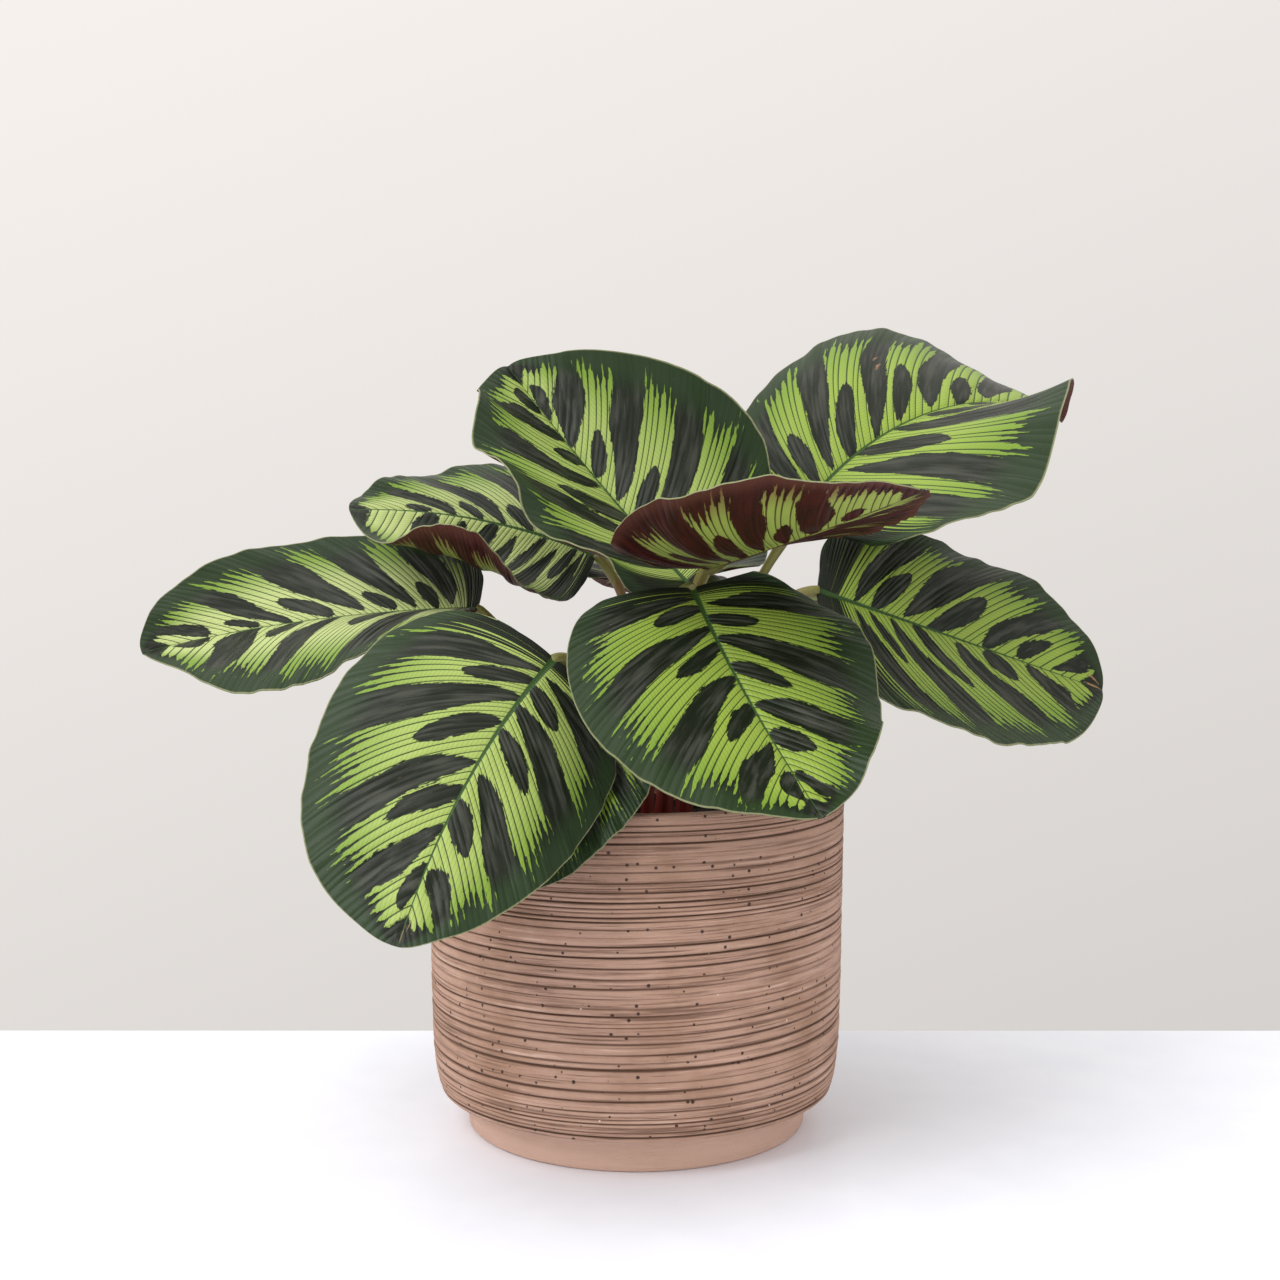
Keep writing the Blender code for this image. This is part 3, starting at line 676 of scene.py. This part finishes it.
def half_paint(bars, along, across, scale, rng):
    """How far a point lies outside the dark marks of one half: its bars, an oval near the
    midrib between each two bars, and the tip."""
    outside = (PAINT_TIP - along) * scale[0] / 2
    gaps = np.diff((*bars, min(2 * bars[-1] - bars[-2], 1.0)))
    for place, gap in zip(bars, gaps):
        start = rng.uniform(-0.04, 0.06)
        stop = 1.15 if place < 0.8 else 0.95
        spread = BAR_SPREAD * gap * rng.uniform(0.9, 1.15)
        bend = rng.uniform(-0.02, 0.02) * across
        bend = bend + 0.006 * np.sin(9 * across + rng.uniform(0, math.tau))
        bar = lens(along + bend, across, place, spread, start, stop, scale)
        middle = place + gap * rng.uniform(0.42, 0.52)
        size = OVAL_SPREAD * gap * rng.uniform(0.8, 1.25)
        first = OVAL_START + rng.uniform(-0.05, 0.05)
        end = OVAL_STOP + rng.uniform(-0.12, 0.1)
        oval = lens(along + bend, across, middle, size, first, end, scale)
        outside = np.minimum(outside, bar)
        if middle < OVAL_LAST:
            outside = np.minimum(outside, oval)
    return outside


def scarred(scars, along, across, scale):
    """How near a point lies to a leaf's scars: 1 at the middle of one, 0 beyond them all."""
    total = np.zeros_like(along)
    for place, side, radius, strength in scars:
        away = np.hypot((along - place) * scale[0], (across - side) * scale[1])
        total = np.maximum(total, strength * smooth_step(1.6 * radius, 0.4 * radius, away))
    return total


def make_blade(name, leaf, finishes, seed):
    """A closed blade on a grid whose rows follow the side veins, two rows to a stripe. The
    two faces stand off the middle surface along its normal, the lower one with the midrib
    on it. Both sink into a pleat along each dark bar."""
    rng = np.random.default_rng(seed)
    edges = np.linspace(BASE_EDGE, 1, STRIPES + 1)
    edges[1:-1] += rng.uniform(-0.22, 0.22, STRIPES - 1) * (edges[1] - edges[0])
    rows = np.sort(np.concatenate([edges, (edges[1:] + edges[:-1]) / 2]))
    share = np.linspace(0, 1, COLUMNS + 1)[1:] ** 1.3
    columns = np.concatenate([-share[::-1], [0.0], share])
    along, across = np.meshgrid(rows, columns, indexing="ij")
    out = np.abs(across)
    is_left = across >= 0
    half = np.where(is_left, leaf["half"][0], leaf["half"][1])
    egg = np.where(is_left, leaf["egg"][0], leaf["egg"][1])
    out_mm = flat_blade(along, out, leaf["length"], half, egg)[1]

    outside = np.zeros_like(along)
    sink = np.zeros_like(along)
    for side, on_side in enumerate((is_left, ~is_left)):
        scale = (1.25 * leaf["length"], leaf["half"][side])
        bars = BARS[name][side]
        outside[on_side] = half_paint(bars, along[on_side], out[on_side], scale, rng)
        for place in bars:
            sink[on_side] -= np.exp(-(((along[on_side] - place) / PLEAT_WIDTH) ** 2))
    sink = PLEAT_DEPTH * sink * smooth_step(0, 0.3, out) * smooth_step(1.0, 0.75, out)
    ripple = np.zeros_like(along)
    for waves in (9, 14, 22):
        ripple += np.sin(math.tau * (waves * along + rng.uniform())) * 9 / waves
    ripple = RIPPLE * ripple * smooth_step(0.7, 1.0, out) * np.sin(np.pi * along)
    scar = scarred(SCARS.get(name, ()), along, across, (1.25 * leaf["length"], leaf["half"][0]))

    middle = blade_point(leaf, along, across)
    normal = grid_normals(middle)
    channel = -0.35 * np.exp(-((out_mm / 1.3) ** 2))
    rib = MIDRIB_DEPTH * (1 - along) * np.exp(-((out_mm / 1.5) ** 2))
    thick = BLADE_THICK * (0.25 + 0.25 * (1 - out**2))
    upper = middle + normal * (sink + ripple + channel + thick)[..., None]
    lower = middle + normal * (sink + ripple - thick - rib)[..., None]

    high, wide = along.shape
    body = (high - 1) * wide
    index = np.arange(high * wide).reshape(high, wide)
    index[-1] = body
    count = body + 1
    middle_column = wide // 2

    def flat(grid):
        return np.concatenate([grid[:-1].reshape(body, -1), grid[-1, middle_column].reshape(1, -1)])

    row, column = np.meshgrid(np.arange(high - 1), np.arange(wide - 1), indexing="ij")
    rows_of = np.stack([row, row + 1, row + 1, row], -1)
    columns_of = np.stack([column, column, column + 1, column + 1], -1)
    chances = rng.uniform(0, 1, (2, STRIPES))
    ends = rng.uniform(-0.5, 0.5, (2, STRIPES))
    ends[:, 1:] = 0.6 * ends[:, 1:] + 0.7 * ends[:, :-1]
    pale = PALE_AND_SHEEN.get(name, 0.1)
    faces = []
    marks = []
    slots = []
    for is_under in (False, True):
        for part in ((slice(0, -1), [0, 1, 2, 3]), (slice(-1, None), [0, 1, 3])):
            part_rows = rows_of[part[0]][..., part[1]]
            part_columns = columns_of[part[0]][..., part[1]]
            stripe = np.repeat(part_rows[..., :1] // 2, len(part[1]), -1)
            side = np.where(part_columns[..., :1] >= middle_column, 0, 1)
            chance = chances[side, stripe] - LATE.get(name, 0) / 0.08
            middle_along = (edges[stripe] + edges[stripe + 1]) / 2
            end = PAINT_END - 0.25 * smooth_step(0.88, 1.0, middle_along) + 0.17 * ends[side, stripe]
            reach = (end - np.abs(columns[part_columns])) * leaf["half"][0]
            ids = index[part_rows, part_columns].reshape(-1, len(part[1]))
            mark = np.stack([reach, chance, np.full(chance.shape, pale)], -1).reshape(*ids.shape, 3)
            if is_under:
                ids, mark = ids[:, ::-1] + count, mark[:, ::-1]
            faces += ids.tolist()
            marks.append(mark.reshape(-1, 3))
            slots += [int(is_under)] * len(ids)
    edge = [*index[:-1, 0], body, *index[-2::-1, -1], *index[0, -2:0:-1]]
    ring = np.array([(a, a + count, b + count, b) for a, b in zip(edge, edge[1:] + edge[:1])])
    faces += ring.tolist()
    marks.append(np.tile([-9.0, 0.5, pale], (4 * len(ring), 1)))
    slots += [0] * len(ring)

    piece = new_piece(
        "blade_" + name, np.concatenate([flat(upper), flat(lower)]), faces, finishes,
        "leaf_" + name, 55,
    )
    place = flat(np.stack([along, across, out_mm], -1))
    aside = np.broadcast_to((np.arange(high)[:, None] + 1) % 2, along.shape)
    paint = flat(np.stack([aside, outside, scar], -1))
    write_attribute(piece.data, "place", "FLOAT_VECTOR", "POINT", np.concatenate([place, place]))
    write_attribute(piece.data, "paint", "FLOAT_VECTOR", "POINT", np.concatenate([paint, paint]))
    write_attribute(piece.data, "marks", "FLOAT_VECTOR", "CORNER", np.concatenate(marks))
    piece.data.polygons.foreach_set("material_index", slots)
    return piece


def make_stalk(name, leaf, finish, chance):
    """A round stalk, as circles along its path: thick in its sheath, slim above, thick again
    in the knee, and then running on under the blade as the midrib's root."""
    line, ways = stalk_path(leaf)
    gone = np.concatenate([[0], np.cumsum(np.linalg.norm(np.diff(line, axis=0), axis=1))])
    left = gone[-1] - gone
    sheath = (SHEATH_RADIUS - STALK_RADIUS) * np.clip(1 - (gone - HOLE_DEPTH) / SHEATH_LENGTH, 0, 1)
    knee = (KNEE_RADIUS - STALK_RADIUS) * smooth_step(1, 0, np.abs(left - KNEE_LENGTH / 2) / KNEE_LENGTH)
    radii = STALK_RADIUS + sheath + knee
    run = np.linspace(1.5, 16, 10)
    centre, _, above = midrib(leaf, run)
    slim = np.linspace(1.6, 0.5, len(run))
    centre = centre - above * (slim + 0.2)[:, None]
    line = np.concatenate([line, centre])
    ways = np.concatenate([ways, unit(np.gradient(centre, axis=0))])
    radii = np.concatenate([radii, slim])
    side = unit(np.cross(ways, direction(leaf["heading"] + 90, 0)))
    other = np.cross(ways, side)
    angle = np.arange(STALK_SIDES) * math.tau / STALK_SIDES
    ring = np.cos(angle)[None, :, None] * side[:, None] + np.sin(angle)[None, :, None] * other[:, None]
    points = (line[:, None] + ring * radii[:, None, None]).reshape(-1, 3)
    faces = ring_faces(len(line), STALK_SIDES)
    piece = new_piece("stem_" + name, points, faces, [finish], "stalk_" + name, 60)
    share = np.concatenate([gone / gone[-1], np.full(len(run), 1.0)])
    place = np.stack([share, radii, np.full(len(share), chance)], -1)
    write_attribute(
        piece.data, "place", "FLOAT_VECTOR", "POINT", np.repeat(place, STALK_SIDES, axis=0)
    )
    return piece


def stalk_material(looks):
    finish, tree, shader = new_material("stalk", tuple(looks.middle))
    share, _, chance = tree.attribute("place")
    streak = tree.noise(tree.stretched(tree.place(), (1.0, 1.0, 0.12)), 900.0, 3.0)
    share = tree.math("MULTIPLY_ADD", tree.math("SUBTRACT", streak, 0.5), 0.25, share)
    share = tree.math("MULTIPLY_ADD", tree.math("SUBTRACT", chance, 0.5), 0.3, share)
    colour = tree.mix(tree.ramp(share, 0.3, 0.7), tuple(looks.low), tuple(looks.middle))
    colour = tree.mix(tree.ramp(share, 0.68, 0.88), colour, tuple(looks.high))
    tree.link(colour, shader.inputs["Base Color"])
    shader.inputs["Roughness"].default_value = 0.42
    tree.link(tree.bump(streak, 0.3, 0.0002), shader.inputs["Normal"])
    return finish


def make_pot(looks, finish):
    """The pot, turned as circles whose radius and height come from a profile. Each cut ring
    has the groove section, its own depth and width, and a slow change of its depth and height
    round the pot. The bands between stand in a little."""
    rng = np.random.default_rng(7)
    around = np.arange(POT_SIDES) * math.tau / POT_SIDES

    def slow(waves):
        total = np.zeros(POT_SIDES)
        for count in waves:
            total += np.sin(count * around + rng.uniform(0, math.tau)) / count**0.7
        return total

    turns = rng.uniform(0, math.tau, 4)

    def drift(height):
        """How far the rings rise and fall round the pot, much alike on rings close together."""
        total = np.zeros(POT_SIDES)
        for count, turn in zip((1, 2, 3, 5), turns):
            total += np.sin(count * around + turn + height / 15) / count
        return total

    rise = np.tan(looks.tilt) * POT_RADIUS * np.cos(around)
    rings = []
    for before, height, beyond in zip(
        (LIP_HEIGHT, *GROOVES[:-1]), GROOVES, (*GROOVES[1:], POT_HEIGHT - 2)
    ):
        free = smooth_step(LIP_HEIGHT, LIP_HEIGHT + 12, height)
        free = free * smooth_step(POT_HEIGHT, POT_HEIGHT - 14, height)
        shift = free * (rise + 0.35 * drift(height) + 0.05 * slow((2, 3, 5, 7)))
        depth = looks.depth * np.clip(rng.uniform(0.35, 1.0) * (1 + 0.3 * slow((1, 3, 6, 11))), 0.1, 1.1)
        width = min(rng.uniform(0.7, 1.2), (height - before) / 2, (beyond - height) / 2)
        band = rng.uniform(0, 1)
        for off, share in GROOVE_SECTION:
            level = height + off * width
            rings.append((outer_radius(level) - depth * share, level + shift, depth * share, level, band))
        level = (height + beyond) / 2
        swell = 0.15 * slow((2, 5, 9)) * free - 0.25 * band
        rings.append((outer_radius(level) + np.minimum(swell, 0), level + shift, 0, level, band))

    rim = outer_radius(POT_HEIGHT)
    well = FOOT_RADIUS - FOOT_WALL
    below = (
        (0.5, 0.0), (FOOT_RADIUS - 1.6, 0.0), (FOOT_RADIUS - 0.3, 0.3), (FOOT_RADIUS, 0.8),
        (FOOT_RADIUS, FOOT_HEIGHT / 2), (FOOT_RADIUS, FOOT_HEIGHT - 0.8),
        (FOOT_RADIUS + 0.4, FOOT_HEIGHT - 0.3), (FOOT_RADIUS + 1.2, FOOT_HEIGHT),
        (LIP_RADIUS - 0.8, LIP_HEIGHT - 0.4), (LIP_RADIUS, LIP_HEIGHT + 0.3),
    )
    inside = inner_radius(POT_HEIGHT)
    above = (
        (rim, POT_HEIGHT - 1.2), (rim - 0.25, POT_HEIGHT - 0.35), (rim - 0.9, POT_HEIGHT),
        (inside + 0.9, POT_HEIGHT), (inside + 0.2, POT_HEIGHT - 0.4), (inside, POT_HEIGHT - 1.2),
        (inner_radius(SOIL_TOP), SOIL_TOP), (inner_radius(SHOULDER), SHOULDER),
        (well, WELL_TOP), (well, POT_FLOOR), (0.5, POT_FLOOR),
    )
    rings = [(r, z, 0, z, 0.5) for r, z in below] + rings + [(r, z, 0, z, 0.5) for r, z in above]
    radius, height, cut, level, band = (
        np.stack([np.broadcast_to(ring[i], POT_SIDES) for ring in rings]) for i in range(5)
    )
    points = np.stack([radius * np.cos(around), radius * np.sin(around), height], -1)
    piece = new_piece(
        "ribbed_pot", points.reshape(-1, 3), ring_faces(len(rings), POT_SIDES), [finish],
        "pot", 50,
    )
    turned = np.stack([np.cos(around) + 0 * level, np.sin(around) + 0 * level, level], -1)
    # The first value masks the painted shade in the cut rings, the second picks the worn bands.
    rubbed = np.stack([cut / max(looks.depth, 0.01), band, radius], -1)
    write_attribute(piece.data, "turned", "FLOAT_VECTOR", "POINT", turned)
    write_attribute(piece.data, "rubbed", "FLOAT_VECTOR", "POINT", rubbed)
    return piece


def clay_material(looks):
    finish, tree, shader = new_material("clay", tuple(looks.clay))
    place = tree.place()
    cut, band, _ = tree.attribute("rubbed")
    _, _, level = tree.attribute("turned")
    cloud = tree.noise(place, 30.0, 4.0, 0.6)
    grain = tree.noise(place, 1500.0, 3.0, 0.6)
    lines = tree.noise(tree.stretched(tree.vector("turned"), (1.6, 1.6, 0.9)), 1.0, 4.0, 0.65)
    patches = tree.noise(tree.stretched(tree.vector("turned"), (5.0, 5.0, 0.5)), 1.0, 3.0, 0.6)
    pits = tree.spots(place, 320.0, 0.17, 0.55)
    flecks = tree.spots(place, 330.0, 0.10, 0.035)
    colour = tree.mix(tree.ramp(cloud, 0.4, 0.75), tuple(looks.clay), srgb(160, 124, 102))
    worn = tree.math("MULTIPLY", tree.ramp(lines, 0.5, 0.7), tree.ramp(patches, 0.35, 0.65))
    worn = tree.math("MULTIPLY_ADD", tree.math("SUBTRACT", band, 0.5), 0.5, worn)
    colour = tree.mix(tree.math("MULTIPLY", tree.ramp(worn, 0.0, 1.0), 0.8), colour, tuple(looks.worn))
    # Painted shade: the clay darkens towards the rim, where the leaves shade the pot.
    upper = tree.math("MULTIPLY", tree.ramp(level, 75.0, POT_HEIGHT), 0.4)
    colour = tree.mix(upper, colour, srgb(134, 102, 80))
    foot = tree.ramp(level, FOOT_HEIGHT + 1.5, FOOT_HEIGHT)
    colour = tree.mix(tree.math("MULTIPLY", foot, 0.8), colour, tuple(looks.worn))
    body = tree.math("SUBTRACT", 1.0, foot)
    pits = tree.math("MULTIPLY", pits, body)
    # Painted shade: the cut colour darkens the fine grooved lines and the cut rings.
    dark = tree.math("MULTIPLY", tree.ramp(lines, 0.5, 0.34), body)
    colour = tree.mix(tree.math("MULTIPLY", dark, 0.75), colour, tuple(looks.cut))
    colour = tree.mix(tree.ramp(cut, 0.05, 0.7), colour, tuple(looks.cut))
    colour = tree.mix(pits, colour, srgb(70, 48, 38))
    colour = tree.mix(flecks, colour, srgb(226, 212, 200))
    tree.link(colour, shader.inputs["Base Color"])
    shader.inputs["Roughness"].default_value = 0.85
    height = tree.math("MULTIPLY_ADD", grain, 0.5, tree.math("MULTIPLY", lines, 1.4))
    height = tree.math("SUBTRACT", height, pits)
    tree.link(tree.bump(height, 0.7, 0.0008), shader.inputs["Normal"])
    return finish


def soil_material(name, colour, shade):
    finish, tree, shader = new_material(name, colour)
    cloud = tree.noise(tree.place(), 260.0, 5.0, 0.65)
    dark = tuple(value * shade for value in colour)
    tree.link(tree.mix(tree.ramp(cloud, 0.35, 0.7), dark, colour), shader.inputs["Base Color"])
    shader.inputs["Roughness"].default_value = 0.95
    tree.link(tree.bump(cloud, 0.8, 0.001), shader.inputs["Normal"])
    return finish


def make_soil(finishes):
    """A plug of soil whose top is a disc of rings, raised by a sum of seeded waves, with
    crumbs, bark and grit sunk into it. A crumb is an eight-sided lump with uneven corners."""
    rng = np.random.default_rng(3)
    sides = 160
    rings = 60
    waves = []
    for size in (40, 22, 11, 6, 3.5):
        for _ in range(4):
            waves.append((size, rng.uniform(0, math.tau), rng.uniform(0, math.tau)))
    edge = inner_radius(SOIL_TOP) - 2 * FIT_GAP

    def top(x, y):
        z = SOIL_TOP + SOIL_CROWN * (1 - (x**2 + y**2) / edge**2)
        for size, way, phase in waves:
            z = z + 0.02 * size * np.sin(math.tau * (x * math.cos(way) + y * math.sin(way)) / size + phase)
        return z

    around = np.arange(sides) * math.tau / sides
    share = np.linspace(1, 0.02, rings)[:, None]
    x = edge * share * np.cos(around)
    y = edge * share * np.sin(around)
    low = np.stack([0.97 * x[0], 0.97 * y[0], np.full(sides, SHOULDER + 2)], -1)
    points = [low, np.stack([x, y, top(x, y)], -1).reshape(-1, 3)]
    faces = ring_faces(rings + 1, sides)
    slots = [0] * len(faces)

    corners = np.array([(1, 0, 0), (0, 1, 0), (-1, 0, 0), (0, -1, 0), (0, 0, 1), (0, 0, -1)], float)
    sheets = np.array([(0, 1, 4), (1, 2, 4), (2, 3, 4), (3, 0, 4), (1, 0, 5), (2, 1, 5), (3, 2, 5), (0, 3, 5)])
    first = len(low) + rings * sides
    for crumb in range(SOIL_CRUMBS):
        kind = rng.choice(3, p=(0.62, 0.26, 0.12))
        size = np.array(((1.3, 1.1, 0.9), (2.4, 1.0, 0.7), (0.9, 0.8, 0.8))[kind]) * rng.uniform(0.6, 1.3)
        radius = (edge - 3) * math.sqrt(rng.uniform())
        way, turn = rng.uniform(0, math.tau, 2)
        lump = corners * size * rng.uniform(0.75, 1.2, (6, 1))
        spin = np.array([(math.cos(turn), -math.sin(turn), 0), (math.sin(turn), math.cos(turn), 0), (0, 0, 1)])
        middle = np.array([radius * math.cos(way), radius * math.sin(way), 0])
        middle[2] = top(middle[0], middle[1]) + 0.1 * size[2]
        points.append(lump @ spin.T + middle)
        faces += (sheets + first + 6 * crumb).tolist()
        slots += [int(kind)] * len(sheets)
    piece = new_piece("potting_soil", np.concatenate(points), faces, finishes, "soil", 60)
    piece.data.polygons.foreach_set("material_index", slots)
    return piece


class PLANT_OT_leaves(bpy.types.Operator):
    """Makes every leaf blade, with its painted veins above and below"""

    bl_idname = "plant.leaves"
    bl_label = "Leaves"

    def execute(self, context):
        need_nodes("leaf_" + name for name in LEAVES)
        looks = context.scene.plant_leaf
        veins = painted_veins()
        finishes = [leaf_top_material(looks, veins), leaf_under_material(looks, veins)]
        for seed, (name, leaf) in enumerate(LEAVES.items()):
            make_blade(name, leaf, finishes, seed)
        return {"FINISHED"}


class PLANT_OT_stalks(bpy.types.Operator):
    """Makes a stalk for every leaf, from the soil to under its blade"""

    bl_idname = "plant.stalks"
    bl_label = "Stalks"

    def execute(self, context):
        need_nodes("stalk_" + name for name in LEAVES)
        finish = stalk_material(context.scene.plant_stalk)
        chances = np.random.default_rng(11).uniform(0, 1, len(LEAVES))
        for (name, leaf), chance in zip(LEAVES.items(), chances):
            make_stalk(name, leaf, finish, chance)
        return {"FINISHED"}


class PLANT_OT_pot(bpy.types.Operator):
    """Makes the ribbed clay pot"""

    bl_idname = "plant.pot"
    bl_label = "Pot"

    def execute(self, context):
        need_nodes(["pot"])
        looks = context.scene.plant_pot
        make_pot(looks, clay_material(looks))
        return {"FINISHED"}


class PLANT_OT_soil(bpy.types.Operator):
    """Makes the potting soil with its crumbs, bark and grit"""

    bl_idname = "plant.soil"
    bl_label = "Soil"

    def execute(self, context):
        need_nodes(["soil"])
        looks = context.scene.plant_soil
        finishes = [
            soil_material("peat", tuple(looks.peat), 0.35),
            soil_material("bark", tuple(looks.bark), 0.5),
            soil_material("grit", tuple(looks.grit), 0.8),
        ]
        make_soil(finishes)
        return {"FINISHED"}


def table_material(looks):
    finish, tree, shader = new_material("table", tuple(looks.table))
    cloud = tree.noise(tree.place(), 40.0, 3.0)
    colour = tree.mix(tree.ramp(cloud, 0.3, 0.7), tuple(looks.table), srgb(234, 238, 248))
    tree.link(colour, shader.inputs["Base Color"])
    shader.inputs["Roughness"].default_value = 0.45
    return finish


def make_table(finish):
    """A slab, as a rectangle swept down, whose back edge is just behind the pot."""
    left, right, front, back = -1.6, 1.6, -1.6, 0.11
    corners = [(left, front), (right, front), (right, back), (left, back)]
    points = [(x, y, -0.03) for x, y in corners] + [(x, y, 0.0) for x, y in corners]
    faces = ring_faces(2, 4)
    mesh = bpy.data.meshes.new("table")
    mesh.from_pydata(points, [], faces)
    mesh.materials.append(finish)
    table = bpy.data.objects.new("table", mesh)
    bpy.context.scene.collection.objects.link(table)
    bevel = table.modifiers.new("edge", "BEVEL")
    bevel.width = 0.002
    bevel.segments = 3


def add_light(name, place, size, energy):
    data = bpy.data.lights.new(name, "AREA")
    data.size = size
    data.energy = energy
    lamp = bpy.data.objects.new(name, data)
    lamp.location = place
    aim = np.array([0, 0, 0.15]) - np.array(place)
    lamp.rotation_mode = "QUATERNION"
    lamp.rotation_quaternion = Vector(aim.tolist()).to_track_quat("-Z", "Y")
    bpy.context.scene.collection.objects.link(lamp)


class PLANT_OT_stage(bpy.types.Operator):
    """Makes the table, the soft lights and the camera"""

    bl_idname = "plant.stage"
    bl_label = "Stage"

    def execute(self, context):
        scene = context.scene
        looks = scene.plant_stage
        make_table(table_material(looks))
        add_light("key", (-1.3, -1.0, 1.9), 1.5, looks.key)
        add_light("fill", (1.6, -1.4, 0.9), 1.8, looks.key / 6)
        add_light("top", (0.1, 0.3, 2.2), 2.0, looks.key / 6)
        world = bpy.data.worlds.new("soft_room")
        world.use_nodes = True
        sky = world.node_tree.nodes["Background"]
        sky.inputs["Color"].default_value = (*looks.wall, 1.0)
        tree = Tree(world.node_tree)
        way = tree.node("ShaderNodeTexCoord").outputs["Generated"]
        way = tree.node("ShaderNodeSeparateXYZ", (), {"Vector": way}).outputs
        rise = tree.math("MULTIPLY_ADD", way[2], 0.34, looks.ambient)
        tree.link(tree.math("MULTIPLY_ADD", way[0], -0.13, rise), sky.inputs["Strength"])
        scene.world = world
        scene.view_settings.view_transform = "Standard"
        glass = bpy.data.cameras.new("camera")
        glass.lens = 52.0
        glass.sensor_width = 36.0
        camera = bpy.data.objects.new("camera", glass)
        camera.location = (0.0014, -0.675, 0.2265)
        camera.rotation_euler = (math.radians(85.8), 0, 0)
        scene.collection.objects.link(camera)
        scene.camera = camera
        return {"FINISHED"}


LOOKS = {
    "plant_leaf": PLANT_PG_leaf,
    "plant_stalk": PLANT_PG_stalk,
    "plant_pot": PLANT_PG_pot,
    "plant_soil": PLANT_PG_soil,
    "plant_stage": PLANT_PG_stage,
}
OPERATORS = (PLANT_OT_stage, PLANT_OT_pot, PLANT_OT_soil, PLANT_OT_stalks, PLANT_OT_leaves)


class PLANT_PT_panel(bpy.types.Panel):
    """Lists the plant's pieces and looks"""

    bl_label = "Potted Peacock Plant"
    bl_idname = "PLANT_PT_panel"
    bl_space_type = "VIEW_3D"
    bl_region_type = "UI"
    bl_category = "Plant"

    def draw(self, context):
        layout = self.layout
        for key, kind in LOOKS.items():
            box = layout.box()
            for field in kind.__annotations__:
                box.prop(getattr(context.scene, key), field)
        for operator in OPERATORS:
            layout.operator(operator.bl_idname)


CLASSES = (*LOOKS.values(), *OPERATORS, PLANT_PT_panel)


def register():
    for cls in CLASSES:
        bpy.utils.register_class(cls)
    for key, kind in LOOKS.items():
        setattr(bpy.types.Scene, key, bpy.props.PointerProperty(type=kind))


def unregister():
    for key in LOOKS:
        delattr(bpy.types.Scene, key)
    for cls in reversed(CLASSES):
        bpy.utils.unregister_class(cls)


def main():
    register()
    for operator in OPERATORS:
        getattr(bpy.ops.plant, operator.bl_idname.split(".")[1])()


if __name__ == "__main__":
    main()
